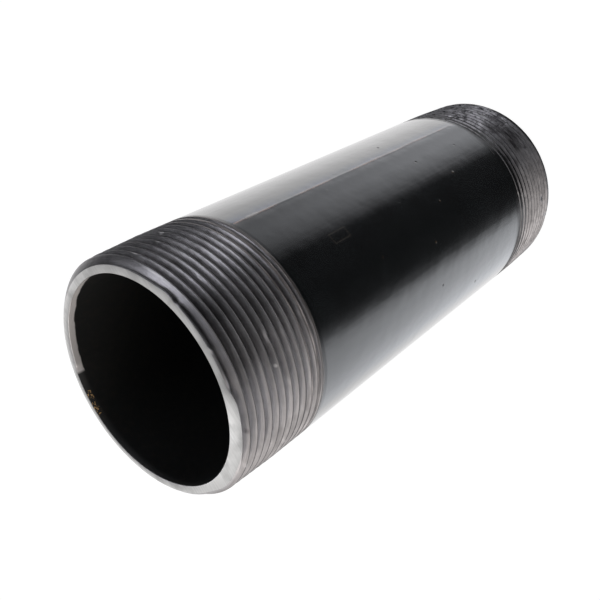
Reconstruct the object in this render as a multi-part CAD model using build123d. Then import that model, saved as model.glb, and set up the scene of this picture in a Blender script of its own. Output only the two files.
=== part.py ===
from build123d import *
import math
import os

# Black steel pipe nipple, nominal size 2, standard weight, six inches long.
# It is one piece of welded pipe with a right hand taper pipe thread cut on both ends.
# It stands on a sawn end: Z runs up the bore and the origin is the centre of the lower face.
# Lengths are in millimetres and angles in degrees.

inch = 25.4

# Pipe
outside_diameter = 2.375 * inch
wall = 0.154 * inch
length = 6.0 * inch

# Taper pipe thread, by the rules of its standard
threads_per_inch = 11.5
taper_on_radius = 1 / 32
flank_angle = 30.0
truncation_share = 0.033    # height missing from a sharp crest and from a sharp root, in pitches
pitch_line_share = 0.05     # the pitch diameter at the end is D less (0.05 D + 1.1 inch) pitches
pitch_line_inches = 1.1
full_thread_share = 0.80    # the effective thread is (0.80 D + 6.8 inch) pitches long
full_thread_inches = 6.8
washout_turns = 3.47        # turns over which the tool pulls out of the wall
lower_crest_angle = 70.0    # where the crest leaves the lower face, from +X
upper_crest_angle = -121.0  # where the crest leaves the upper face, from +X

# Sawn ends
bevel_angle = 45.0          # takes the feather edge off the first turn
lip_height = 2.0            # depth over which the saw rolled the bore's edge inwards
lip_roll = 0.25             # how far the bore's edge stands inwards at the face

# The groove tool
tool_lead_turns = 1.5       # turns that the tool makes outside the face
tool_rise_share = 0.025     # how far its sides stand above the crest, in pitches
span_turns = 1.0            # turns in one span of its path

outer_radius = outside_diameter / 2
bore_radius = outer_radius - wall
pitch = inch / threads_per_inch
sharp_height = pitch / (2 * math.tan(math.radians(flank_angle)))
truncation = truncation_share * pitch
tool_rise = tool_rise_share * pitch
end_pitch_diameter = outside_diameter - (pitch_line_share * outside_diameter / inch + pitch_line_inches) * pitch
end_crest_radius = end_pitch_diameter / 2 + sharp_height / 2 - truncation
end_root_radius = end_pitch_diameter / 2 - sharp_height / 2 + truncation
full_thread_length = (full_thread_share * outside_diameter / inch + full_thread_inches) * pitch
thread_length = full_thread_length + washout_turns * pitch


def pipe_blank():
    """The pipe before threading, with its ends turned to the taper, bevelled and lipped."""
    bevel_slope = math.tan(math.radians(bevel_angle))
    bevel_height = (end_crest_radius - end_root_radius) / (bevel_slope - taper_on_radius)
    bevel_radius = end_root_radius + bevel_height * bevel_slope
    taper_height = (outer_radius - end_crest_radius) / taper_on_radius
    lip_radius = bore_radius - lip_roll
    lower_half = [
        (lip_radius, 0),
        (end_root_radius, 0),
        (bevel_radius, bevel_height),
        (outer_radius, taper_height),
    ]
    upper_half = [(radius, length - height) for radius, height in reversed(lower_half)]
    bore = [(bore_radius, length - lip_height), (bore_radius, lip_height)]
    outline = Plane.XZ * make_face(Polyline(*lower_half, *upper_half, *bore, close=True))
    return revolve(outline, Axis.Z)


def helix_spans(start_height, end_height, start_radius, slope, start_turns):
    """One stretch of helix round a cone, as short spans that follow one another."""
    cone = math.degrees(math.atan(slope))
    count = math.ceil((end_height - start_height) / (span_turns * pitch))
    rise = (end_height - start_height) / count
    spans = []
    for index in range(count):
        height = start_height + index * rise
        span = Helix(
            pitch=pitch / math.cos(math.radians(cone)),
            height=rise,
            radius=start_radius + (height - start_height) * slope,
            center=(0, 0, height),
            cone_angle=cone,
        )
        turned = 360 * (start_turns + index * rise / pitch)
        spans.append(Rot(Z=turned) * span)
    return spans


def thread_groove():
    """The groove that cuts the lower thread, with its crest leaving the face on +X."""
    lead = tool_lead_turns * pitch
    root_radius = end_root_radius - lead * taper_on_radius
    washout_radius = end_root_radius + full_thread_length * taper_on_radius
    washout_slope = (outer_radius + tool_rise - washout_radius) / (washout_turns * pitch)
    full_turns = (full_thread_length + lead) / pitch
    path = Wire(
        helix_spans(-lead, full_thread_length, root_radius, taper_on_radius, 0)
        + helix_spans(full_thread_length, thread_length, washout_radius, washout_slope, full_turns)
    )
    depth = end_crest_radius - end_root_radius + tool_rise
    half_mouth = depth * math.tan(math.radians(flank_angle))
    section = Polyline(
        (root_radius, -lead),
        (root_radius + depth, -lead - half_mouth),
        (root_radius + depth, -lead + half_mouth),
        close=True,
    )
    return sweep(Plane.XZ * make_face(section), path=path, is_frenet=True)


groove = thread_groove()
lower_groove = Rot(Z=lower_crest_angle) * groove
upper_groove = Pos(Z=length) * Rot(Z=upper_crest_angle) * Rot(X=180) * groove
nipple = pipe_blank() - lower_groove - upper_groove
nipple.label = "nipple_body"

os.makedirs("parts", exist_ok=True)
export_step(nipple, "parts/nipple_body.step")
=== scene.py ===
import math

import bmesh
import bpy
from mathutils import Matrix, Vector, noise


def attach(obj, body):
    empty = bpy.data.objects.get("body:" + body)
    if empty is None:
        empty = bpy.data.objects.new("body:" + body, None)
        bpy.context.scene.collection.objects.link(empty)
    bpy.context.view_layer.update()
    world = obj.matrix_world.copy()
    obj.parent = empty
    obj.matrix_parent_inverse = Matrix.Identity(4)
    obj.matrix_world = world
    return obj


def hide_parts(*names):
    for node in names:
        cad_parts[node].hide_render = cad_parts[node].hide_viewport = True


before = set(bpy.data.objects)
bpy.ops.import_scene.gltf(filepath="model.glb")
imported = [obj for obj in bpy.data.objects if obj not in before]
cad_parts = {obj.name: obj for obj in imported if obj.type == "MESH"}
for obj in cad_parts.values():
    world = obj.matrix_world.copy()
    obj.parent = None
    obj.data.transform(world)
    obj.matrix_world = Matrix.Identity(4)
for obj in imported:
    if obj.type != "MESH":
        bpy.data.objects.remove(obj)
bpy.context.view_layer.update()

# Black steel pipe nipple, 2 inch by 6 inch, standing on its far end.
# The upper mouth is the one that faces the camera in the photo.
mm = 0.001


# ---- node and colour helpers

def fromHex(text):
    channels = [int(text[at:at + 2], 16) / 255 for at in (1, 3, 5)]
    linear = [c / 12.92 if c <= 0.04045 else ((c + 0.055) / 1.055) ** 2.4 for c in channels]
    return (*linear, 1.0)


def addNode(tree, kind, settings=None, links=None):
    # settings go to sockets where the key is a socket, else to the node itself
    node = tree.nodes.new(kind)
    for key, value in (settings or {}).items():
        if isinstance(key, int) or key in node.inputs:
            continue
        setattr(node, key, value)
    for key, value in (settings or {}).items():
        if isinstance(key, int) or key in node.inputs:
            node.inputs[key].default_value = value
    for key, source in (links or {}).items():
        tree.links.new(source[0].outputs[source[1]], node.inputs[key])
    return node


def setStops(node, stops):
    # stops: (position, colour or grey) pairs of a colour ramp
    ramp = node.color_ramp
    while len(ramp.elements) > 1:
        ramp.elements.remove(ramp.elements[-1])
    for index, (position, tone) in enumerate(stops):
        stop = ramp.elements[0] if index == 0 else ramp.elements.new(position)
        stop.position = position
        stop.color = tone if isinstance(tone, tuple) else (tone, tone, tone, 1.0)
    return node


def newMaterial(name):
    material = bpy.data.materials.new(name)
    material.use_nodes = True
    tree = material.node_tree
    tree.nodes.clear()
    return material, tree


# ---- the nipple's sizes, in mm and degrees

nippleSizes = {
    "outsideRadius": 30.1625,
    "boreRadius": 26.2509,
    "length": 152.4,
    "pitch": 25.4 / 11.5,
    "taper": 1 / 32,
    "crestRadius": 29.7001,    # at the face
    "rootRadius": 27.9331,     # at the face
    "rootFlat": 0.08,
    "threadLength": 26.880,
    "lipRadius": 26.0009,
    "lipDepth": 2.0,
    "lipRounding": 0.16,
    "columns": 288,
    "barrelRows": 40,
    "seamAzimuth": -48.2,      # the longitudinal weld, at seamHeight
    "seamHeight": 120.0,
    "seamTwist": 0.014,        # degrees for each mm that it wanders round the pipe
    "seamRise": 0.035,
    "seamWidth": 1.5,
}

# where the crest leaves each face, where its groove starts to fade and how fast the root then climbs,
# how much deeper the fading part was cut on one side, and how torn the crests are, in mm
upperThread = {"crestAzimuth": -121.0, "fullThread": 24.0, "rise": 0.533, "lean": 0.0, "leanTo": 0.0,
               "torn": 0.011, "seed": 3.0}
lowerThread = {"crestAzimuth": 70.0, "fullThread": 19.216, "rise": 0.2197, "lean": 0.42, "leanTo": -12.0,
               "torn": 0.04, "seed": 41.0}

# azimuths between which the lands of the lower thread keep their lacquer: the die scuffed the rest
wholeLands = {"from": -118.0, "to": -74.0}

# radius of each face's edge by azimuth: the root of the thread, apart from where the first crest is left standing
upperFaceEdge = [
    (-180, 28.02), (-172, 28.4), (-168, 28.8), (-159, 29.05), (-150, 29.2), (-142, 29.55), (-130, 29.66),
    (-117, 29.66), (-113, 29.1), (-109.5, 28.25), (-98, 28.05), (-93.6, 28.1), (-92.3, 28.8), (-91, 28.12),
    (-72, 28.25), (-69.2, 28.3), (-68.6, 27.95), (-66.5, 28.5), (-63, 28.6), (-58, 28.2), (-52, 28.0),
    (-22, 27.95), (0, 27.95), (60, 28.05), (120, 27.95), (180, 28.02),
]
lowerFaceEdge = [
    (-180, 27.95), (-60, 28.0), (34, 27.98), (44, 28.5), (58, 29.3), (74, 29.6),
    (86, 28.9), (94, 27.98), (180, 27.95),
]


# how far the upper mouth's inner edge is broken back, by azimuth
upperMouthBreak = [
    (-180, 0.1), (-160, 0.0), (62.5, 0.0), (64.0, 0.62), (80, 0.72), (100, 0.74), (120, 0.7), (140, 0.45), (160, 0.15),
    (180, 0.1),
]


def edgeRadius(table, azimuth):
    azimuth = (azimuth + 180) % 360 - 180
    for (startAt, startRadius), (endAt, endRadius) in zip(table, table[1:]):
        if startAt <= azimuth <= endAt:
            share = (azimuth - startAt) / (endAt - startAt)
            return startRadius + (endRadius - startRadius) * share
    return table[0][1]


def rootRadiusAt(depth, end, azimuth):
    s = nippleSizes
    fullRadius = s["rootRadius"] + depth * s["taper"]
    if depth <= end["fullThread"]:
        return fullRadius
    atFull = s["rootRadius"] + end["fullThread"] * s["taper"]
    toward = max(0.0, math.cos(math.radians(azimuth - end["leanTo"])))
    return max(fullRadius, atFull + (depth - end["fullThread"]) * end["rise"] - end["lean"] * toward ** 2)


def crestRadiusAt(depth):
    s = nippleSizes
    return min(s["crestRadius"] + depth * s["taper"], s["outsideRadius"])


def addThreadEnd(bm, layerFor, end, faceEdge, flip):
    # One threaded end, built with its face at height 0 and its body above.
    # The grid's rows follow the helix, so that crests and roots stay crisp.
    # flip turns it end for end about X, which keeps it a right hand thread.
    s = nippleSizes
    pitch = s["pitch"]
    columns = s["columns"]
    slopeOut = math.tan(math.radians(30))
    startAzimuth = -end["crestAzimuth"] if flip else end["crestAzimuth"]
    place = Matrix.Translation((0, 0, s["length"] * mm)) @ Matrix.Rotation(math.pi, 4, "X") if flip else Matrix()
    turns = math.ceil((s["threadLength"] + 1.2) / pitch) + 3
    firstTurn = -2
    cutTop = s["threadLength"] + 0.6
    perTurn = 9
    rows = []
    for turn in range(firstTurn, firstTurn + turns + 1):
        for part in range(perTurn):
            rows.append((turn, part))

    grid = []
    for turn, part in rows:
        ring = []
        for column in range(columns + 1):
            azimuth = 360 * column / columns
            rootAt = pitch * (turn + 0.5 + (azimuth - startAzimuth) / 360)
            top = crestRadiusAt(rootAt)
            low = rootRadiusAt(rootAt, end, azimuth)
            half = max((top - low) * slopeOut, 0.07)
            flat = min(s["rootFlat"] / 2, half * 0.4)
            flank = half - flat
            offset = (-pitch / 2, -half, 0.06 * flank - half, 0.55 * flank - half, -flat,
                      flat, half - 0.55 * flank, half - 0.06 * flank, half)[part]
            height = rootAt + offset
            surface = crestRadiusAt(height)
            if part in (0, 1, 8):
                radius = surface
            elif part in (4, 5):
                radius = min(low, surface)
            else:
                share = (abs(offset) - flat) / flank
                radius = min(low + (surface - low) * share, surface)
            # torn crest: the die leaves the crest ragged by a few hundredths
            around = azimuth if azimuth < 360 else 0.0
            real = -around if flip else around
            angle = math.radians(around)
            spot = Vector((math.cos(angle) * 30, math.sin(angle) * 30, height * 1.6 + end["seed"]))
            ragged = noise.noise(spot * 0.55) + 0.6 * noise.noise(spot * 1.7)
            depthCut = max(0.0, min(1.0, (top - low) / 1.2))
            if part in (0, 1, 8):
                radius -= end["torn"] * (1.0 + ragged) * depthCut
                nick = noise.noise(spot * 0.31 + Vector((9.0, 4.0, 2.0)))
                if nick > 0.52:
                    radius -= min((nick - 0.52) * 1.2, 0.12) * depthCut
            # the bevel at the mouth
            edge = edgeRadius(faceEdge, real)
            radius = min(radius, edge + max(height, -0.4) * 1.05)
            ring.append((radius, height, angle, top - low))
        grid.append(ring)

    verts = {}
    rowCount = len(rows)
    taperEnd = (s["outsideRadius"] - s["crestRadius"]) / s["taper"]

    def vertAt(row, column):
        # column 288 of one turn is column 0 of the next
        if column == columns:
            row += perTurn
            column = 0
        key = (row, column)
        if key not in verts:
            radius, height, angle = grid[row][column][:3]
            point = Vector((radius * math.cos(angle) * mm, radius * math.sin(angle) * mm, height * mm))
            verts[key] = bm.verts.new(place @ point)
        return verts[key]

    made = []
    for row in range(rowCount - 1 - perTurn):
        part = rows[row][1]
        for column in range(columns):
            corners = [vertAt(row, column), vertAt(row, column + 1), vertAt(row + 1, column + 1), vertAt(row + 1, column)]
            face = bm.faces.new(corners)
            face.smooth = True
            height = grid[row][column][1]
            # roots and the edges of the lands stay sharp, worn crests don't
            if part in (4, 5) or (part in (1, 8) and height > taperEnd):
                bm.edges.get((corners[0], corners[1])).smooth = False
            # the raw outside of the pipe is left between the last, shallow turns, scuffed by the die
            faded = grid[row][column][3] < 0.04
            if height > s["threadLength"] and (faded or part in (8, 0)):
                face.material_index = layerFor["lacquer"]
            elif (faded and height > end["fullThread"]) or (part in (8, 0) and height > end["fullThread"] - 3.0):
                face.material_index = layerFor["land"]
            else:
                face.material_index = layerFor["thread"]
            made.append(face)

    def cut(atHeight, keepAbove):
        point = place @ Vector((0, 0, atHeight * mm))
        normal = (place.to_3x3() @ Vector((0, 0, 1))) * (1 if keepAbove else -1)
        faces = [f for f in bm.faces if f.tag]
        geometry = faces + list({e for f in faces for e in f.edges}) + list({v for f in faces for v in f.verts})
        result = bmesh.ops.bisect_plane(
            bm, geom=geometry, dist=0.0000001, plane_co=point, plane_no=normal, clear_inner=True,
        )
        for item in result["geom"]:
            if isinstance(item, bmesh.types.BMFace):
                item.tag = True
        return [v for v in result["geom_cut"] if isinstance(v, bmesh.types.BMVert)]

    for face in bm.faces:
        face.tag = False
    for face in made:
        face.tag = True
    faceLoop = cut(0.0, True)
    barrelLoop = cut(cutTop, False)
    for face in bm.faces:
        face.tag = False
    return faceLoop, barrelLoop


def addCircle(bm, radius, height, azimuths, breakShare=0.0):
    ring = []
    for azimuth in azimuths:
        angle = math.radians(azimuth)
        at = radius + breakShare * edgeRadius(upperMouthBreak, azimuth)
        ring.append(bm.verts.new((at * math.cos(angle) * mm, at * math.sin(angle) * mm, height * mm)))
    return ring


def addBarrelRing(bm, height, columns):
    # even columns, with a closer set across the weld that follows its wander
    s = nippleSizes
    seamAt = s["seamAzimuth"] - s["seamTwist"] * (s["seamHeight"] - height)
    seamAt += 0.5 * noise.noise(Vector((height / 11, 5.0, 1.0))) + 0.3 * noise.noise(Vector((height / 4, 2.0, 7.0)))
    halfWidth = math.degrees(s["seamWidth"] / 2 / s["outsideRadius"])
    ends = min(1.0, max(0.0, (min(height, s["length"] - height) - s["threadLength"] - 1.0) / 1.5))
    places = []
    for share, rise in ((-1.0, 0.0), (-0.55, 0.35), (-0.15, 1.0), (0.15, 0.8), (0.5, 0.2), (1.0, 0.0)):
        places.append((seamAt + share * halfWidth, rise * s["seamRise"] * ends))
    gap = 360 / columns
    first = seamAt + halfWidth
    span = 360 - 2 * halfWidth
    count = int(span / gap)
    for column in range(1, count):
        places.append((first + span * column / count, 0.0))
    ring = []
    for azimuth, rise in places:
        angle = math.radians(azimuth)
        radius = s["outsideRadius"] + rise
        ring.append(bm.verts.new((radius * math.cos(angle) * mm, radius * math.sin(angle) * mm, height * mm)))
    return ring


def joinLoops(bm, loopA, loopB, materialIndex):
    # sews two loops of any count together, in order of azimuth
    def ordered(loop):
        return sorted(loop, key=lambda v: math.atan2(v.co.y, v.co.x))

    first = ordered(loopA)
    second = ordered(loopB)
    a = 0
    b = 0
    faces = []
    while a < len(first) or b < len(second):
        nextA = math.atan2(first[(a + 1) % len(first)].co.y, first[(a + 1) % len(first)].co.x) + (
            2 * math.pi if a + 1 >= len(first) else 0)
        nextB = math.atan2(second[(b + 1) % len(second)].co.y, second[(b + 1) % len(second)].co.x) + (
            2 * math.pi if b + 1 >= len(second) else 0)
        if b >= len(second) or (a < len(first) and nextA <= nextB):
            corners = (first[a % len(first)], first[(a + 1) % len(first)], second[b % len(second)])
            a += 1
        else:
            corners = (first[a % len(first)], second[(b + 1) % len(second)], second[b % len(second)])
            b += 1
        face = bm.faces.new(corners)
        face.material_index = materialIndex
        faces.append(face)
    return faces


def buildNipple(materials):
    s = nippleSizes
    layerFor = {name: index for index, name in enumerate(materials)}
    bm = bmesh.new()
    upperFace, upperBarrel = addThreadEnd(bm, layerFor, upperThread, upperFaceEdge, True)
    lowerFace, lowerBarrel = addThreadEnd(bm, layerFor, lowerThread, lowerFaceEdge, False)
    print("threads cut:", len(upperFace), "points round the upper face,", len(lowerFace), "round the lower")

    # barrel
    columns = s["columns"]
    startHeight = s["threadLength"] + 0.6
    barrelStart = startHeight + 0.5
    barrelEnd = s["length"] - barrelStart
    rings = []
    for row in range(s["barrelRows"] + 1):
        height = barrelStart + (barrelEnd - barrelStart) * row / s["barrelRows"]
        rings.append(addBarrelRing(bm, height, columns))
    for lower, upper in zip(rings, rings[1:]):
        for column in range(len(lower)):
            after = (column + 1) % len(lower)
            face = bm.faces.new((lower[column], lower[after], upper[after], upper[column]))
            face.material_index = layerFor["lacquer"]
            face.smooth = True
    joinLoops(bm, lowerBarrel, rings[0], layerFor["lacquer"])
    joinLoops(bm, rings[-1], upperBarrel, layerFor["lacquer"])

    # mouths and bore
    profile = [
        (s["lipRadius"] + s["lipRounding"], 0.0, "face"),
        (s["lipRadius"] + s["lipRounding"] * 0.3, s["lipRounding"] * 0.3, "face"),
        (s["lipRadius"], s["lipRounding"] * 1.2, "bore"),
        (s["boreRadius"], s["lipDepth"], "bore"),
        (s["boreRadius"], 12.0, "bore"),
        (s["boreRadius"], 40.0, "bore"),
    ]
    around = [360 * column / columns for column in range(columns)]
    boreRings = [(addCircle(bm, radius, depth, around), name) for radius, depth, name in profile]
    topRings = []
    for (radius, depth, name), breakShare in zip(profile, (1.0, 0.93, 0.45, 0.0, 0.0, 0.0)):
        topRings.append((addCircle(bm, radius, s["length"] - depth, around, breakShare), name))
    chain = boreRings + topRings[::-1]
    for link, ((lower, lowerName), (upper, upperName)) in enumerate(zip(chain, chain[1:])):
        for column in range(columns):
            after = (column + 1) % columns
            face = bm.faces.new((lower[column], upper[column], upper[after], lower[after]))
            broken = link == len(chain) - 3 and edgeRadius(upperMouthBreak, around[column]) > 0.05
            bare = "face" in (lowerName, upperName) and not broken
            face.material_index = layerFor["face" if bare else "bore"]
    joinLoops(bm, lowerFace, boreRings[0][0], layerFor["face"])
    joinLoops(bm, topRings[0][0], upperFace, layerFor["face"])

    bmesh.ops.dissolve_degenerate(bm, dist=0.000001, edges=bm.edges)
    bmesh.ops.recalc_face_normals(bm, faces=bm.faces)
    for edge in bm.edges:
        kinds = {face.material_index for face in edge.link_faces}
        if layerFor["thread"] in kinds and len(kinds) > 1:
            edge.smooth = False
    for face in bm.faces:
        face.smooth = True
    open_ = [e for e in bm.edges if not e.is_manifold]
    print("open edges:", len(open_))
    mesh = bpy.data.meshes.new("nippleBody")
    bm.to_mesh(mesh)
    bm.free()
    for material in materials.values():
        mesh.materials.append(material)
    piece = bpy.data.objects.new("nippleBody", mesh)
    bpy.context.scene.collection.objects.link(piece)
    triangles = sum(len(p.vertices) - 2 for p in mesh.polygons)
    print("nipple built:", triangles, "triangles")
    return piece


# ---- materials

# small faults of the lacquer: azimuth in degrees, height and radius in mm
lacquerPits = [
    (-40.8, 61.5, 0.5), (-64.3, 39.0, 0.4), (-63.0, 59.6, 0.45), (-128.6, 73.2, 0.5), (-144.0, 51.5, 0.55),
    (62.0, 88.0, 0.5), (151.0, 44.0, 0.4), (15.0, 101.0, 0.45),
]
lacquerPips = [
    (-78.2, 50.5, 0.5), (-104.9, 73.6, 0.45), (-88.0, 64.0, 0.3), (104.0, 70.0, 0.45),
    (-97.0, 96.0, 0.3), (30.0, 52.0, 0.4),
]


# a pale rub beside the weld, and a faint four-sided stain: its middle, half width and half height
lacquerRubs = [(-47.9, 117.4, 0.7), (-48.0, 118.2, 0.85), (-48.0, 119.0, 0.8), (-48.1, 119.8, 0.85), (-48.2, 120.6, 0.7)]
stain = {"azimuth": -78.4, "height": 104.8, "halfWidth": 1.6, "halfHeight": 3.2, "line": 0.6}


def onWall(azimuth, height, radius=30.16):
    angle = math.radians(azimuth)
    return (radius * math.cos(angle) * mm, radius * math.sin(angle) * mm, height * mm)


def addSpots(tree, coords, spots, radius=30.16):
    # one mask that is 1 inside each listed spot and fades out at its edge
    mask = None
    for azimuth, height, size in spots:
        away = addNode(tree, "ShaderNodeVectorMath", {"operation": "DISTANCE", 1: onWall(azimuth, height, radius)},
                       {0: (coords, "Object")})
        spot = addNode(tree, "ShaderNodeMapRange", {
            "From Min": size * 0.35 * mm, "From Max": size * mm, "To Min": 1.0, "To Max": 0.0,
        }, {"Value": (away, "Value")})
        if mask is None:
            mask = (spot, "Result")
        else:
            mask = (addNode(tree, "ShaderNodeMath", {"operation": "MAXIMUM"}, {0: mask, 1: (spot, "Result")}), "Value")
    return mask


def addRoundRamp(tree, axes, stops):
    # tone by azimuth in degrees: the first and last stops should agree, as they meet behind the pipe
    azimuth = addNode(tree, "ShaderNodeMath", {"operation": "ARCTAN2"}, {0: (axes, "Y"), 1: (axes, "X")})
    share = addNode(tree, "ShaderNodeMapRange", {"From Min": -math.pi, "From Max": math.pi}, {"Value": (azimuth, "Value")})
    ramp = addNode(tree, "ShaderNodeValToRGB", None, {"Fac": (share, "Result")})
    return setStops(ramp, [((at + 180) / 360, tone) for at, tone in stops])


def makeLacquer():
    # Black lacquered mill pipe: a thin dipped film of asphalt lacquer over smooth rolled scale.
    # It shows a near black body under a hard wet gloss, with dust pips, a few pits and the weld line.
    s = nippleSizes
    material, tree = newMaterial("blackLacquerOnPipe")
    coords = addNode(tree, "ShaderNodeTexCoord")
    axes = addNode(tree, "ShaderNodeSeparateXYZ", None, {"Vector": (coords, "Object")})
    # film waviness a few mm across, and dust about 0.2 mm across, drawn coarse enough to show
    waves = addNode(tree, "ShaderNodeTexNoise", {"Scale": 140.0, "Detail": 2.0}, {"Vector": (coords, "Object")})
    cells = addNode(tree, "ShaderNodeTexVoronoi", {"Scale": 330.0}, {"Vector": (coords, "Object")})
    dust = addNode(tree, "ShaderNodeMapRange", {"From Min": 0.03, "From Max": 0.09, "To Min": 1.0, "To Max": 0.0},
                   {"Value": (cells, "Distance")})
    pick = addNode(tree, "ShaderNodeSeparateColor", None, {"Color": (cells, "Color")})
    rare = addNode(tree, "ShaderNodeMath", {"operation": "GREATER_THAN", 1: 0.8}, {0: (pick, "Red")})
    grit = addNode(tree, "ShaderNodeMath", {"operation": "MULTIPLY"}, {0: (dust, "Result"), 1: (rare, "Value")})
    pits = addSpots(tree, coords, lacquerPits)
    pips = addSpots(tree, coords, lacquerPips)
    # the weld: a scarfed line that wanders round the pipe, with a faint heat tint and a painted highlight
    azimuth = addNode(tree, "ShaderNodeMath", {"operation": "ARCTAN2"}, {0: (axes, "Y"), 1: (axes, "X")})
    twist = math.radians(s["seamTwist"]) / mm
    lean = addNode(tree, "ShaderNodeMath", {
        "operation": "MULTIPLY_ADD", 1: -twist, 2: s["seamHeight"] * mm * twist - math.radians(s["seamAzimuth"]),
    }, {0: (axes, "Z")})
    off = addNode(tree, "ShaderNodeMath", {"operation": "ADD"}, {0: (azimuth, "Value"), 1: (lean, "Value")})
    patchy = addNode(tree, "ShaderNodeTexNoise", {"Scale": 90.0, "Detail": 3.0}, {"Vector": (coords, "Object")})
    # the straw colour on the weld's line is a painted highlight, and the blue beside it is the tint that heat leaves on
    # steel
    seamPlace = addNode(tree, "ShaderNodeMapRange", {"From Min": -0.05, "From Max": 0.11}, {"Value": (off, "Value")})
    mottled = setStops(
        addNode(tree, "ShaderNodeValToRGB", None, {"Fac": (patchy, "Fac")}),
        [(0.35, fromHex("#0A0D0E")), (0.65, fromHex("#121617"))],
    )
    weldHighlightAndHeat = setStops(
        addNode(tree, "ShaderNodeValToRGB", None, {"Fac": (seamPlace, "Result")}),
        [(0.0, fromHex("#000000")), (0.22, fromHex("#30241E")), (0.3, fromHex("#9C7668")), (0.37, fromHex("#4C444A")),
         (0.46, fromHex("#2E3B5C")), (0.62, fromHex("#1E283E")), (1.0, fromHex("#000000"))],
    )
    patches = addNode(tree, "ShaderNodeMapRange", {"From Min": 0.36, "From Max": 0.52}, {"Value": (patchy, "Fac")})
    tinted = addNode(tree, "ShaderNodeMix", {"data_type": "RGBA", "blend_type": "ADD"},
                     {0: (patches, "Result"), 6: (mottled, "Color"), 7: (weldHighlightAndHeat, "Color")})
    dusty = addNode(tree, "ShaderNodeMix", {"data_type": "RGBA", 7: fromHex("#5B4A35")}, {0: pips, 6: (tinted, 2)})
    speck = addNode(tree, "ShaderNodeMath", {"operation": "GREATER_THAN", 1: 0.5}, {0: (pick, "Green")})
    gritty = addNode(tree, "ShaderNodeMath", {"operation": "MULTIPLY"}, {0: (grit, "Value"), 1: (speck, "Value")})
    greyed = addNode(tree, "ShaderNodeMix", {"data_type": "RGBA", 7: fromHex("#3A3733")},
                     {0: (gritty, "Value"), 6: (dusty, 2)})
    rubbed = addNode(tree, "ShaderNodeMix", {"data_type": "RGBA", 7: fromHex("#8E8580")},
                     {0: addSpots(tree, coords, lacquerRubs), 6: (greyed, 2)})
    # the stain shows only by its outline
    aside = addNode(tree, "ShaderNodeMath", {"operation": "ADD", 1: -math.radians(stain["azimuth"])}, {0: (azimuth, "Value")})
    above = addNode(tree, "ShaderNodeMath", {"operation": "ADD", 1: -stain["height"] * mm}, {0: (axes, "Z")})
    sideways = addNode(tree, "ShaderNodeMath", {"operation": "ABSOLUTE"}, {0: (aside, "Value")})
    wide = addNode(tree, "ShaderNodeMath", {
        "operation": "MULTIPLY_ADD", 1: s["outsideRadius"] * mm, 2: -stain["halfWidth"] * mm,
    }, {0: (sideways, "Value")})
    lengthways = addNode(tree, "ShaderNodeMath", {"operation": "ABSOLUTE"}, {0: (above, "Value")})
    high = addNode(tree, "ShaderNodeMath", {"operation": "ADD", 1: -stain["halfHeight"] * mm}, {0: (lengthways, "Value")})
    outward = addNode(tree, "ShaderNodeMath", {"operation": "MAXIMUM"}, {0: (wide, "Value"), 1: (high, "Value")})
    atLine = addNode(tree, "ShaderNodeMapRange", {"From Min": -stain["line"] * mm, "From Max": 0.0}, {"Value": (outward, "Value")})
    outline = setStops(
        addNode(tree, "ShaderNodeValToRGB", None, {"Fac": (atLine, "Result")}),
        [(0.0, 0.0), (0.4, 0.24), (0.65, 0.24), (1.0, 0.0)],
    )
    stained = addNode(tree, "ShaderNodeMix", {"data_type": "RGBA", 7: fromHex("#6A6258")},
                      {0: (outline, "Color"), 6: (rubbed, 2)})
    pitted = addNode(tree, "ShaderNodeMix", {"data_type": "RGBA", 7: fromHex("#060606")}, {0: pits, 6: (stained, 2)})
    # drawn streaks along the pipe, 1.5 mm wide
    drawn = addNode(tree, "ShaderNodeMapping", {"Scale": (650.0, 650.0, 9.0)}, {"Vector": (coords, "Object")})
    streaks = addNode(tree, "ShaderNodeTexNoise", {"Scale": 1.0, "Detail": 2.0}, {"Vector": (drawn, "Vector")})
    uneven = addNode(tree, "ShaderNodeMath", {"operation": "MULTIPLY_ADD", 1: 0.2},
                     {0: (streaks, "Fac"), 2: (waves, "Fac")})
    lumps = addNode(tree, "ShaderNodeMath", {"operation": "MULTIPLY_ADD", 1: 0.5}, {0: pips, 2: (uneven, "Value")})
    raised = addNode(tree, "ShaderNodeMath", {"operation": "MULTIPLY_ADD", 1: 0.22},
                     {0: (grit, "Value"), 2: (lumps, "Value")})
    sunk = addNode(tree, "ShaderNodeMath", {"operation": "MULTIPLY_ADD", 1: -0.9}, {0: pits, 2: (raised, "Value")})
    bump = addNode(tree, "ShaderNodeBump", {"Strength": 1.0, "Distance": 0.0001}, {"Height": (sunk, "Value")})
    smear = addNode(tree, "ShaderNodeMapRange", {"From Min": 0.3, "From Max": 0.7, "To Min": 0.09, "To Max": 0.15},
                    {"Value": (patchy, "Fac")})
    # a pit breaks the film, so it loses the coat's gloss
    whole = addNode(tree, "ShaderNodeMath", {"operation": "SUBTRACT", 0: 1.0}, {1: pits})
    shader = addNode(tree, "ShaderNodeBsdfPrincipled", {"IOR": 1.55, "Coat Roughness": 0.06, "Coat IOR": 1.55}, {
        "Base Color": (pitted, 2), "Roughness": (smear, "Result"), "Normal": (bump, "Normal"),
        "Coat Weight": (whole, "Value"), "Specular IOR Level": (whole, "Value"), "Coat Normal": (bump, "Normal"),
    })
    addNode(tree, "ShaderNodeOutputMaterial", None, {"Surface": (shader, "BSDF")})
    return material


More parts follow.
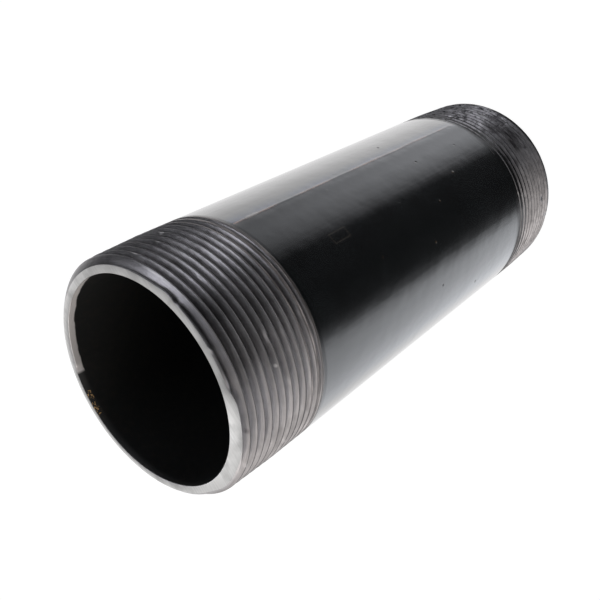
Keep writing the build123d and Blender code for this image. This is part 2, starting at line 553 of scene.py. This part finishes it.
def makeScuffedLacquer():
    # The same lacquer between the last turns, rubbed grey, matt and scratched by the teeth of the die.
    # It is left whole over a part of the lower thread.
    material, tree = newMaterial("scuffedLacquer")
    coords = addNode(tree, "ShaderNodeTexCoord")
    axes = addNode(tree, "ShaderNodeSeparateXYZ", None, {"Vector": (coords, "Object")})
    along = addNode(tree, "ShaderNodeMapping", {"Scale": (160.0, 160.0, 3200.0)}, {"Vector": (coords, "Object")})
    scratches = addNode(tree, "ShaderNodeTexNoise", {"Scale": 1.0, "Detail": 3.0}, {"Vector": (along, "Vector")})
    # how rubbed it is: 0 for whole lacquer
    worn = addRoundRamp(tree, axes, [
        (wholeLands["from"] - 18, 1.0), (wholeLands["from"] + 14, 0.0), (wholeLands["to"] - 8, 0.0), (wholeLands["to"] + 10, 1.0),
    ])
    upperEnd = addNode(tree, "ShaderNodeMapRange", {"From Min": 60 * mm, "From Max": 90 * mm}, {"Value": (axes, "Z")})
    teeth = addNode(tree, "ShaderNodeMath", {"operation": "MAXIMUM"}, {0: (worn, "Color"), 1: (upperEnd, "Result")})
    # the rub fades out where the thread does
    fromTop = addNode(tree, "ShaderNodeMath", {"operation": "SUBTRACT", 0: nippleSizes["length"] * mm}, {1: (axes, "Z")})
    fromEnd = addNode(tree, "ShaderNodeMath", {"operation": "MINIMUM"}, {0: (axes, "Z"), 1: (fromTop, "Value")})
    reached = addNode(tree, "ShaderNodeMapRange", {
        "From Min": (nippleSizes["threadLength"] - 1.3) * mm, "From Max": (nippleSizes["threadLength"] - 0.1) * mm,
        "To Min": 1.0, "To Max": 0.0,
    }, {"Value": (fromEnd, "Value")})
    rubbed = addNode(tree, "ShaderNodeMath", {"operation": "MULTIPLY"}, {0: (teeth, "Value"), 1: (reached, "Result")})
    paler = addNode(tree, "ShaderNodeMapRange", {"To Min": 0.9, "To Max": 4.2}, {"Value": (upperEnd, "Result")})
    tone = setStops(
        addNode(tree, "ShaderNodeValToRGB", None, {"Fac": (scratches, "Fac")}),
        [(0.35, fromHex("#2C2A2A")), (0.55, fromHex("#4A4746")), (0.7, fromHex("#706C6A"))],
    )
    scuff = addNode(tree, "ShaderNodeVectorMath", {"operation": "SCALE"}, {0: (tone, "Color"), "Scale": (paler, "Result")})
    skin = addNode(tree, "ShaderNodeMix", {"data_type": "RGBA", 6: fromHex("#0B0E0F")},
                   {0: (rubbed, "Value"), 7: (scuff, "Vector")})
    film = addNode(tree, "ShaderNodeMath", {"operation": "SUBTRACT", 0: 1.0}, {1: (rubbed, "Value")})
    rough = addNode(tree, "ShaderNodeMapRange", {"To Min": 0.14, "To Max": 0.58}, {"Value": (rubbed, "Value")})
    bare = addNode(tree, "ShaderNodeMath", {"operation": "MULTIPLY", 1: 0.3}, {0: (rubbed, "Value")})
    bump = addNode(tree, "ShaderNodeBump", {"Distance": 0.00003},
                   {"Height": (scratches, "Fac"), "Strength": (rubbed, "Value")})
    shader = addNode(tree, "ShaderNodeBsdfPrincipled", {"Coat Roughness": 0.06, "Coat IOR": 1.55}, {
        "Base Color": (skin, 2), "Metallic": (bare, "Value"), "Roughness": (rough, "Result"),
        "Coat Weight": (film, "Value"), "Normal": (bump, "Normal"),
    })
    addNode(tree, "ShaderNodeOutputMaterial", None, {"Surface": (shader, "BSDF")})
    return material


# dark gouges and bright nicks of the threads
threadGouges = [
    (-130.7, 151.2, 1.1), (-44.4, 131.6, 1.0), (-98.4, 21.9, 3.0), (-93.0, 21.5, 3.2), (-87.0, 21.0, 2.6),
    (-66.3, 12.6, 5.5), (-74.0, 10.0, 6.0), (-62.0, 8.0, 5.0), (-80.0, 13.0, 4.5), (-91.0, 17.4, 2.2),
]
threadNicks = [(-111.8, 139.7, 0.6), (-110.0, 139.2, 0.45), (-108.0, 24.0, 0.9)]


def makeThreadSteel():
    # Die-cut mild steel: bare metal, torn a little along the cut.
    # Its crests are rubbed bright and its flanks satin grey; the roots are darkened partly by oil and scale and partly
    # by painted shade.
    s = nippleSizes
    material, tree = newMaterial("dieCutSteel")
    coords = addNode(tree, "ShaderNodeTexCoord")
    axes = addNode(tree, "ShaderNodeSeparateXYZ", None, {"Vector": (coords, "Object")})
    # how far below the crest a point lies: 0 at the crest, 1 at the root
    flatPlace = addNode(tree, "ShaderNodeCombineXYZ", None, {"X": (axes, "X"), "Y": (axes, "Y")})
    radius = addNode(tree, "ShaderNodeVectorMath", {"operation": "LENGTH"}, {0: (flatPlace, "Vector")})
    fromTop = addNode(tree, "ShaderNodeMath", {"operation": "SUBTRACT", 0: s["length"] * mm}, {1: (axes, "Z")})
    fromEnd = addNode(tree, "ShaderNodeMath", {"operation": "MINIMUM"}, {0: (axes, "Z"), 1: (fromTop, "Value")})
    cone = addNode(tree, "ShaderNodeMath", {"operation": "MULTIPLY_ADD", 1: s["taper"], 2: s["crestRadius"] * mm},
                   {0: (fromEnd, "Value")})
    crest = addNode(tree, "ShaderNodeMath", {"operation": "MINIMUM", 1: s["outsideRadius"] * mm}, {0: (cone, "Value")})
    below = addNode(tree, "ShaderNodeMath", {"operation": "SUBTRACT"}, {0: (crest, "Value"), 1: (radius, "Value")})
    depth = addNode(tree, "ShaderNodeMapRange", {"From Min": 0.0, "From Max": (s["crestRadius"] - s["rootRadius"]) * mm},
                    {"Value": (below, "Value")})
    # lines torn along the cut: about 0.3 mm apart and 10 mm long
    along = addNode(tree, "ShaderNodeMapping", {"Scale": (110.0, 110.0, 2600.0)}, {"Vector": (coords, "Object")})
    torn = addNode(tree, "ShaderNodeTexNoise", {"Scale": 1.0, "Detail": 3.0, "Roughness": 0.55}, {"Vector": (along, "Vector")})
    # small tears left by chatter, about 1.5 mm long
    across = addNode(tree, "ShaderNodeMapping", {"Scale": (600.0, 600.0, 900.0)}, {"Vector": (coords, "Object")})
    chatter = addNode(tree, "ShaderNodeTexNoise", {"Scale": 1.0, "Detail": 3.0, "Roughness": 0.6}, {"Vector": (across, "Vector")})
    patches = addNode(tree, "ShaderNodeTexNoise", {"Scale": 110.0, "Detail": 3.0}, {"Vector": (coords, "Object")})
    tone = setStops(
        addNode(tree, "ShaderNodeValToRGB", None, {"Fac": (torn, "Fac")}),
        [(0.3, fromHex("#ABA9AA")), (0.5, fromHex("#BBB9BB")), (0.7, fromHex("#C9C7C8"))],
    )
    # darkening by depth: a dull skin on the crests, and roots darkened partly by residue and partly by painted shade
    rootShadeAndResidue = setStops(
        addNode(tree, "ShaderNodeValToRGB", None, {"Fac": (depth, "Result")}),
        [(0.0, 0.35), (0.04, 0.55), (0.08, 0.96), (0.7, 0.95), (0.9, 0.8), (1.0, 0.6)],
    )
    oxide = setStops(
        addNode(tree, "ShaderNodeValToRGB", None, {"Fac": (patches, "Fac")}),
        [(0.35, 0.75), (0.52, 0.97), (0.7, 1.0)],
    )
    gouges = setStops(
        addNode(tree, "ShaderNodeValToRGB", None, {"Fac": (chatter, "Fac")}),
        [(0.37, 0.22), (0.49, 1.0), (0.58, 1.0), (0.68, 1.5)],
    )
    grey = addNode(tree, "ShaderNodeMix", {"data_type": "RGBA", "blend_type": "MULTIPLY", 0: 1.0},
                   {6: (tone, "Color"), 7: (rootShadeAndResidue, "Color")})
    aged = addNode(tree, "ShaderNodeMix", {"data_type": "RGBA", "blend_type": "MULTIPLY", 0: 1.0},
                   {6: (grey, 2), 7: (oxide, "Color")})
    farEnd = addNode(tree, "ShaderNodeMapRange", {"From Min": 60 * mm, "From Max": 90 * mm, "To Min": 1.0, "To Max": 0.2},
                     {"Value": (axes, "Z")})
    # the die chattered most on one side of the far end
    chattered = addRoundRamp(tree, axes, [(-84, 0.25), (-50, 1.0), (-18, 1.0), (15, 0.3), (60, 0.25)])
    tornThere = addNode(tree, "ShaderNodeMath", {"operation": "MULTIPLY"}, {0: (farEnd, "Result"), 1: (chattered, "Color")})
    # painted shade darkens the top of the near end, and the far end is made a little darker all round
    paintedSideShade = addRoundRamp(tree, axes, [(-54, 1.0), (-36, 0.66), (20, 0.66), (80, 1.0)])
    nearEnd = addNode(tree, "ShaderNodeMapRange", {"From Min": 0.2, "From Max": 1.0, "To Min": 1.0, "To Max": 0.0},
                      {"Value": (farEnd, "Result")})
    darker = addNode(tree, "ShaderNodeMix", {"data_type": "FLOAT", 2: 0.9}, {0: (nearEnd, "Result"), 3: (paintedSideShade, "Color")})
    shadedEnd = addNode(tree, "ShaderNodeVectorMath", {"operation": "SCALE"}, {0: (aged, 2), "Scale": (darker, 0)})
    scored = addNode(tree, "ShaderNodeMix", {"data_type": "RGBA", "blend_type": "MULTIPLY"},
                     {0: (tornThere, "Value"), 6: (shadedEnd, "Vector"), 7: (gouges, "Color")})
    chatterDepth = addNode(tree, "ShaderNodeMapRange", {"From Min": 0.25, "From Max": 1.0, "To Min": 0.3, "To Max": 1.3},
                           {"Value": (chattered, "Color")})
    relief = addNode(tree, "ShaderNodeMath", {"operation": "MULTIPLY_ADD"},
                     {0: (chatter, "Fac"), 1: (chatterDepth, "Result"), 2: (torn, "Fac")})
    depthOfTear = addNode(tree, "ShaderNodeMapRange", {"From Min": 0.2, "From Max": 1.0, "To Min": 0.35, "To Max": 1.0},
                          {"Value": (farEnd, "Result")})
    bump = addNode(tree, "ShaderNodeBump", {"Distance": 0.00015},
                   {"Height": (relief, "Value"), "Strength": (depthOfTear, "Result")})
    brokenUp = addNode(tree, "ShaderNodeMapRange", {"From Min": 0.35, "From Max": 0.65, "To Min": 0.85, "To Max": 0.25},
                       {"Value": (torn, "Fac")})
    gougeMask = addNode(tree, "ShaderNodeMath", {"operation": "MULTIPLY"},
                        {0: addSpots(tree, coords, threadGouges, 29.4), 1: (brokenUp, "Result")})
    gouged = addNode(tree, "ShaderNodeMix", {"data_type": "RGBA", 7: fromHex("#2A2728")},
                     {0: (gougeMask, "Value"), 6: (scored, 2)})
    nicked = addNode(tree, "ShaderNodeMix", {"data_type": "RGBA", 7: fromHex("#F4F2F0")},
                     {0: addSpots(tree, coords, threadNicks, 29.4), 6: (gouged, 2)})
    # the crests keep a dull skin of oxide and oil
    clean = addNode(tree, "ShaderNodeMapRange", {"From Min": 0.01, "From Max": 0.07}, {"Value": (depth, "Result")})
    dull = addNode(tree, "ShaderNodeMapRange", {"To Min": 0.65, "To Max": 0.37}, {"Value": (clean, "Result")})
    shader = addNode(tree, "ShaderNodeBsdfPrincipled", None, {
        "Base Color": (nicked, 2), "Metallic": (clean, "Result"), "Roughness": (dull, "Result"), "Normal": (bump, "Normal"),
    })
    addNode(tree, "ShaderNodeOutputMaterial", None, {"Surface": (shader, "BSDF")})
    return material


# a duller stretch of the upper face, by azimuth, and the scratch that crosses it
dullFace = {"from": -118.0, "to": -4.0, "tone": 0.55, "scratchAt": -66.6, "scratchTone": 0.35}


def makeFaceSteel():
    # Sawn mild steel: bright bare metal, with fine straight saw lines and a few dull stains.
    material, tree = newMaterial("sawnSteel")
    coords = addNode(tree, "ShaderNodeTexCoord")
    # saw lines are about 0.2 mm apart; drawn at 0.5 mm so that they show
    stretch = addNode(tree, "ShaderNodeMapping", {"Scale": (150.0, 2000.0, 150.0)}, {"Vector": (coords, "Object")})
    lines = addNode(tree, "ShaderNodeTexNoise", {"Scale": 1.0, "Detail": 3.0}, {"Vector": (stretch, "Vector")})
    stains = addNode(tree, "ShaderNodeTexNoise", {"Scale": 160.0, "Detail": 3.0}, {"Vector": (coords, "Object")})
    tone = setStops(
        addNode(tree, "ShaderNodeValToRGB", None, {"Fac": (lines, "Fac")}),
        [(0.3, fromHex("#BFBEBD")), (0.7, fromHex("#D0CFCE"))],
    )
    dull = setStops(
        addNode(tree, "ShaderNodeValToRGB", None, {"Fac": (stains, "Fac")}),
        [(0.36, 0.75), (0.5, 1.0)],
    )
    steel = addNode(tree, "ShaderNodeMix", {"data_type": "RGBA", "blend_type": "MULTIPLY", 0: 1.0},
                    {6: (tone, "Color"), 7: (dull, "Color")})
    d = dullFace
    axes = addNode(tree, "ShaderNodeSeparateXYZ", None, {"Vector": (coords, "Object")})
    handled = addRoundRamp(tree, axes, [
        (d["from"] - 6, 1.0), (d["from"] + 6, d["tone"]), (d["scratchAt"] - 0.9, d["tone"]),
        (d["scratchAt"], d["scratchTone"]), (d["scratchAt"] + 0.9, d["tone"]),
        (d["to"] - 8, d["tone"] + 0.06), (d["to"] + 6, 1.0),
    ])
    onTop = addNode(tree, "ShaderNodeMath", {"operation": "GREATER_THAN", 1: nippleSizes["length"] / 2 * mm}, {0: (axes, "Z")})
    worn = addNode(tree, "ShaderNodeMix", {"data_type": "RGBA", "blend_type": "MULTIPLY"},
                   {0: (onTop, "Value"), 6: (steel, 2), 7: (handled, "Color")})
    bump = addNode(tree, "ShaderNodeBump", {"Strength": 0.3, "Distance": 0.00003}, {"Height": (lines, "Fac")})
    shader = addNode(tree, "ShaderNodeBsdfPrincipled", {"Metallic": 1.0, "Roughness": 0.36},
                     {"Base Color": (worn, 2), "Normal": (bump, "Normal")})
    addNode(tree, "ShaderNodeOutputMaterial", None, {"Surface": (shader, "BSDF")})
    return material


# where the saw left the mouth's lip bare, by azimuth, and how far down the bore it reaches
bareLip = {"from": -25.0, "to": 67.0, "depth": 1.9, "fleckFrom": 78.0, "fleckTo": 92.5, "fleckDepth": 1.3}


def makeBoreScale():
    # Mill scale under a thin black lacquer: nearly black and dull.
    # The lip at the mouth was rubbed bare by the saw, and flecks of rusty metal show beyond it.
    s = nippleSizes
    b = bareLip
    material, tree = newMaterial("boreMillScale")
    coords = addNode(tree, "ShaderNodeTexCoord")
    axes = addNode(tree, "ShaderNodeSeparateXYZ", None, {"Vector": (coords, "Object")})
    azimuth = addNode(tree, "ShaderNodeMath", {"operation": "ARCTAN2"}, {0: (axes, "Y"), 1: (axes, "X")})
    down = addNode(tree, "ShaderNodeMath", {"operation": "SUBTRACT", 0: s["length"] * mm}, {1: (axes, "Z")})
    grain = addNode(tree, "ShaderNodeTexNoise", {"Scale": 700.0, "Detail": 4.0}, {"Vector": (coords, "Object")})
    fleckGrain = addNode(tree, "ShaderNodeTexNoise", {"Scale": 1700.0, "Detail": 3.0}, {"Vector": (coords, "Object")})
    edge = addNode(tree, "ShaderNodeTexNoise", {"Scale": 300.0, "Detail": 2.0}, {"Vector": (coords, "Object")})
    ragged = addNode(tree, "ShaderNodeMath", {"operation": "MULTIPLY_ADD", 1: -0.0009, 2: 0.00045}, {0: (edge, "Fac")})
    reach = addNode(tree, "ShaderNodeMath", {"operation": "ADD"}, {0: (down, "Value"), 1: (ragged, "Value")})
    shallow = addNode(tree, "ShaderNodeMapRange", {
        "From Min": (b["depth"] - 0.15) * mm, "From Max": (b["depth"] + 0.15) * mm, "To Min": 1.0, "To Max": 0.0,
    }, {"Value": (reach, "Value")})
    begins = addNode(tree, "ShaderNodeMapRange", {
        "From Min": math.radians(b["from"] - 12), "From Max": math.radians(b["from"] + 12),
    }, {"Value": (azimuth, "Value")})
    ends = addNode(tree, "ShaderNodeMapRange", {
        "From Min": math.radians(b["to"] - 0.8), "From Max": math.radians(b["to"] + 0.8), "To Min": 1.0, "To Max": 0.0,
    }, {"Value": (azimuth, "Value")})
    span = addNode(tree, "ShaderNodeMath", {"operation": "MULTIPLY"}, {0: (begins, "Result"), 1: (ends, "Result")})
    lip = addNode(tree, "ShaderNodeMath", {"operation": "MULTIPLY"}, {0: (span, "Value"), 1: (shallow, "Result")})
    fleckStart = addNode(tree, "ShaderNodeMath", {"operation": "GREATER_THAN", 1: math.radians(b["fleckFrom"])},
                         {0: (azimuth, "Value")})
    fleckEnd = addNode(tree, "ShaderNodeMath", {"operation": "LESS_THAN", 1: math.radians(b["fleckTo"])},
                       {0: (azimuth, "Value")})
    fleckLow = addNode(tree, "ShaderNodeMath", {"operation": "LESS_THAN", 1: b["fleckDepth"] * mm}, {0: (down, "Value")})
    fleckSpan = addNode(tree, "ShaderNodeMath", {"operation": "MULTIPLY"}, {0: (fleckStart, "Value"), 1: (fleckEnd, "Value")})
    fleckZone = addNode(tree, "ShaderNodeMath", {"operation": "MULTIPLY"}, {0: (fleckSpan, "Value"), 1: (fleckLow, "Value")})
    fleckBits = addNode(tree, "ShaderNodeMapRange", {"From Min": 0.53, "From Max": 0.6}, {"Value": (fleckGrain, "Fac")})
    flecks = addNode(tree, "ShaderNodeMath", {"operation": "MULTIPLY"}, {0: (fleckZone, "Value"), 1: (fleckBits, "Result")})
    bare = addNode(tree, "ShaderNodeMath", {"operation": "MAXIMUM"}, {0: (lip, "Value"), 1: (flecks, "Value")})
    scale = setStops(
        addNode(tree, "ShaderNodeValToRGB", None, {"Fac": (grain, "Fac")}),
        [(0.45, fromHex("#0C0E0E")), (0.75, fromHex("#1A1714"))],
    )
    rubbed = addNode(tree, "ShaderNodeMix", {"data_type": "RGBA", 7: fromHex("#CFCBC9")}, {0: (lip, "Value"), 6: (scale, "Color")})
    rusty = addNode(tree, "ShaderNodeMix", {"data_type": "RGBA", 7: fromHex("#C29C64")}, {0: (flecks, "Value"), 6: (rubbed, 2)})
    dullness = addNode(tree, "ShaderNodeMapRange", {"To Min": 0.6, "To Max": 0.42}, {"Value": (bare, "Value")})
    bump = addNode(tree, "ShaderNodeBump", {"Strength": 0.3, "Distance": 0.0001}, {"Height": (grain, "Fac")})
    shader = addNode(tree, "ShaderNodeBsdfPrincipled", {"IOR": 1.5}, {
        "Base Color": (rusty, 2), "Roughness": (dullness, "Result"),
        "Normal": (bump, "Normal"),
    })
    addNode(tree, "ShaderNodeOutputMaterial", None, {"Surface": (shader, "BSDF")})
    return material


# ---- studio

# brightness of the surround by azimuth, as the barrel's gloss shows it: a white tent with a dark opening
tentStops = [
    (-180, 0.94), (-165, 0.88), (-157, 0.72), (-150, 0.42), (-144, 0.17), (-137, 0.07), (-130, 0.035),
    (-117, 0.025), (-104, 0.02), (-76, 0.028), (-63, 0.04), (-56, 0.15), (-50, 0.31), (-43, 0.47),
    (-36, 0.57), (-23, 0.7), (-10, 0.62), (-3, 0.69), (2, 0.94), (16, 1.0), (35, 1.02), (50, 0.92), (66, 0.86),
    (114, 0.88), (127, 0.92), (145, 0.98), (165, 0.98), (180, 0.94),
]
# the cloth is a little blue where it is in shade: up to each azimuth, its tint
tentTints = [(-80, (0.968, 0.993, 1.04)), (10, (0.972, 0.99, 1.045)), (140, (1.0, 0.995, 1.0)), (181, (0.968, 0.993, 1.04))]
openingLean = 0.67                # how the opening leans with the ray's fall, in radians
openingFall = 0.78

# brightness of the upper part from left to right, as the flanks of both threads show it: a table below the object
# at the left, and at the right only one soft lamp
roofStops = [
    (-1.0, 1.7), (-0.85, 1.6), (-0.77, 1.25), (-0.7, 1.0), (-0.62, 0.88), (-0.53, 0.67), (-0.42, 0.47), (-0.32, 0.32),
    (-0.2, 0.22), (-0.1, 0.17), (0.0, 0.13), (0.2, 0.09), (0.35, 0.08), (0.43, 1.4), (0.5, 4.5), (0.56, 2.8),
    (0.63, 0.35), (0.72, 0.12), (0.78, 0.03), (1.0, 0.02),
]
roofSkew = 0.6
roofWarm = (1.04, 0.99, 0.955)
roofCool = (0.95, 0.965, 1.04)


def makeWorld():
    world = bpy.data.worlds.new("whiteTent")
    bpy.context.scene.world = world
    world.use_nodes = True
    tree = world.node_tree
    tree.nodes.clear()
    coords = addNode(tree, "ShaderNodeTexCoord")
    axes = addNode(tree, "ShaderNodeSeparateXYZ", None, {"Vector": (coords, "Generated")})
    azimuth = addNode(tree, "ShaderNodeMath", {"operation": "ARCTAN2"}, {0: (axes, "Y"), 1: (axes, "X")})
    lean = addNode(tree, "ShaderNodeMath", {"operation": "MULTIPLY_ADD", 1: -openingLean, 2: -openingLean * openingFall},
                   {0: (axes, "Z")})
    turned = addNode(tree, "ShaderNodeMath", {"operation": "ADD"}, {0: (azimuth, "Value"), 1: (lean, "Value")})
    share = addNode(tree, "ShaderNodeMapRange", {"From Min": -math.pi, "From Max": math.pi},
                    {"Value": (turned, "Value")})
    low = setStops(
        addNode(tree, "ShaderNodeValToRGB", None, {"Fac": (share, "Result")}),
        [((at + 180) / 360, (*(tone * tint for tint in next(t for upTo, t in tentTints if at < upTo)), 1.0))
         for at, tone in tentStops],
    )
    rightward = addNode(tree, "ShaderNodeMath", {"operation": "MAXIMUM", 1: 0.0}, {0: (axes, "X")})
    skew = addNode(tree, "ShaderNodeMath", {"operation": "MULTIPLY", 1: roofSkew}, {0: (axes, "Y")})
    skewed = addNode(tree, "ShaderNodeMath", {"operation": "MULTIPLY_ADD"},
                     {0: (skew, "Value"), 1: (rightward, "Value"), 2: (axes, "X")})
    # the cloth at the right front is darker higher up
    frontward = addNode(tree, "ShaderNodeMapRange", {"From Min": 0.1, "From Max": -0.08}, {"Value": (axes, "Y")})
    front = addNode(tree, "ShaderNodeMath", {"operation": "MULTIPLY"}, {0: (frontward, "Result"), 1: (rightward, "Value")})
    higher = addNode(tree, "ShaderNodeMapRange", {"From Min": -0.84, "From Max": -0.68, "To Min": 0.0, "To Max": 0.6},
                     {"Value": (axes, "Z")})
    shade = addNode(tree, "ShaderNodeMath", {"operation": "MULTIPLY"}, {0: (front, "Value"), 1: (higher, "Result")})
    left = addNode(tree, "ShaderNodeMath", {"operation": "SUBTRACT", 0: 1.0}, {1: (shade, "Value")})
    shaded = addNode(tree, "ShaderNodeVectorMath", {"operation": "SCALE"}, {0: (low, "Color"), "Scale": (left, "Value")})
    across = addNode(tree, "ShaderNodeMapRange", {"From Min": -1.0, "From Max": 1.0}, {"Value": (skewed, "Value")})
    high = setStops(
        addNode(tree, "ShaderNodeValToRGB", None, {"Fac": (across, "Result")}),
        [((at + 1) / 2, (*(tone * tint for tint in (roofWarm if at < -0.2 else roofCool)), 1.0))
         for at, tone in roofStops],
    )
    # the lamp is weaker toward the far end of the object
    lampFall = addNode(tree, "ShaderNodeMapRange", {"From Min": -0.3, "From Max": 0.05, "To Min": 0.45, "To Max": 1.0},
                       {"Value": (axes, "Y")})
    rightSide = addNode(tree, "ShaderNodeMapRange", {"From Min": 0.1, "From Max": 0.4}, {"Value": (axes, "X")})
    fading = addNode(tree, "ShaderNodeMix", {"data_type": "FLOAT", 2: 1.0}, {0: (rightSide, "Result"), 3: (lampFall, "Result")})
    upper = addNode(tree, "ShaderNodeVectorMath", {"operation": "SCALE"}, {0: (high, "Color"), "Scale": (fading, "Result")})
    # the walls reach a little over eye level, and are white behind the object to their top
    roof = addNode(tree, "ShaderNodeMapRange", {"From Min": 0.0, "From Max": 0.25, "interpolation_type": "SMOOTHSTEP"},
                   {"Value": (axes, "Z")})
    toward = addNode(tree, "ShaderNodeVectorMath", {"operation": "DOT_PRODUCT", 1: (0.0, 0.866, 0.5)},
                     {0: (coords, "Generated")})
    behind = addNode(tree, "ShaderNodeMapRange", {"From Min": 0.88, "From Max": 0.95, "interpolation_type": "SMOOTHSTEP"},
                     {"Value": (toward, "Value")})
    roofed = addNode(tree, "ShaderNodeMix", {"data_type": "RGBA"},
                     {0: (roof, "Result"), 6: (shaded, "Vector"), 7: (upper, "Vector")})
    backed = addNode(tree, "ShaderNodeMath", {"operation": "MULTIPLY"}, {0: (behind, "Result"), 1: (roof, "Result")})
    # the sheet behind is brighter low down, as the ring of the mouth shows it
    sheet = addNode(tree, "ShaderNodeMapRange", {"From Min": 0.44, "From Max": 0.58, "To Min": 1.75, "To Max": 0.45},
                    {"Value": (axes, "Z")})
    tent = addNode(tree, "ShaderNodeMix", {"data_type": "RGBA"},
                   {0: (backed, "Value"), 6: (roofed, 2), 7: (sheet, "Result")})
    light = addNode(tree, "ShaderNodeBackground", {"Strength": 1.0}, {"Color": (tent, 2)})
    white = addNode(tree, "ShaderNodeBackground", {"Color": (1, 1, 1, 1), "Strength": 1.0})
    rays = addNode(tree, "ShaderNodeLightPath")
    both = addNode(tree, "ShaderNodeMixShader", None,
                   {0: (rays, "Is Camera Ray"), 1: (light, "Background"), 2: (white, "Background")})
    addNode(tree, "ShaderNodeOutputWorld", None, {"Surface": (both, "Shader")})


def makeFloor():
    material, tree = newMaterial("paleFloor")
    rays = addNode(tree, "ShaderNodeLightPath")
    paper = addNode(tree, "ShaderNodeBsdfDiffuse", {"Color": fromHex("#F2F2F2")})
    glow = addNode(tree, "ShaderNodeEmission", {"Color": (1, 1, 1, 1), "Strength": 1.07})
    # to the camera the floor is white paper that keeps a faint shadow
    seen = addNode(tree, "ShaderNodeMixShader", {0: 0.08}, {1: (glow, "Emission"), 2: (paper, "BSDF")})
    clear = addNode(tree, "ShaderNodeBsdfTransparent")
    lit = addNode(tree, "ShaderNodeMixShader", None,
                  {0: (rays, "Is Camera Ray"), 1: (paper, "BSDF"), 2: (seen, "Shader")})
    # gloss looks past the floor at the tent, which is white there too
    through = addNode(tree, "ShaderNodeMath", {"operation": "MAXIMUM"},
                      {0: (rays, "Is Glossy Ray"), 1: (rays, "Is Transmission Ray")})
    out = addNode(tree, "ShaderNodeMixShader", None,
                  {0: (through, "Value"), 1: (lit, "Shader"), 2: (clear, "BSDF")})
    addNode(tree, "ShaderNodeOutputMaterial", None, {"Surface": (out, "Shader")})
    bm = bmesh.new()
    bmesh.ops.create_grid(bm, x_segments=4, y_segments=4, size=3.0)
    mesh = bpy.data.meshes.new("floor")
    bm.to_mesh(mesh)
    bm.free()
    mesh.materials.append(material)
    floor = bpy.data.objects.new("floor", mesh)
    bpy.context.scene.collection.objects.link(floor)


cameraPlace = {
    "location": (0.0, -150.07, 237.84),          # mm
    "forward": (-0.01214407, 0.73418602, -0.67883975),
    "pictureUp": (0.8573171, -0.34176833, -0.38496986),
    "lens": 45.73,
}


def makeCamera():
    c = cameraPlace
    data = bpy.data.cameras.new("camera")
    data.lens = c["lens"]
    data.sensor_width = 36.0
    camera = bpy.data.objects.new("camera", data)
    bpy.context.scene.collection.objects.link(camera)
    back = -Vector(c["forward"]).normalized()
    up = Vector(c["pictureUp"]).normalized()
    right = up.cross(back).normalized()
    up = back.cross(right)
    turn = Matrix((right, up, back)).transposed()
    camera.matrix_world = Matrix.Translation(Vector(c["location"]) * mm) @ turn.to_4x4()
    data.clip_start = 0.01
    bpy.context.scene.camera = camera


makeCamera()
print("camera placed")
makeWorld()
makeFloor()
print("studio made")
materials = {
    "lacquer": makeLacquer(),
    "land": makeScuffedLacquer(),
    "thread": makeThreadSteel(),
    "face": makeFaceSteel(),
    "bore": makeBoreScale(),
}
print("materials made")
nipple = buildNipple(materials)
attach(nipple, "root")
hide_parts("nipple_body")

bpy.context.scene.view_settings.view_transform = "Standard"
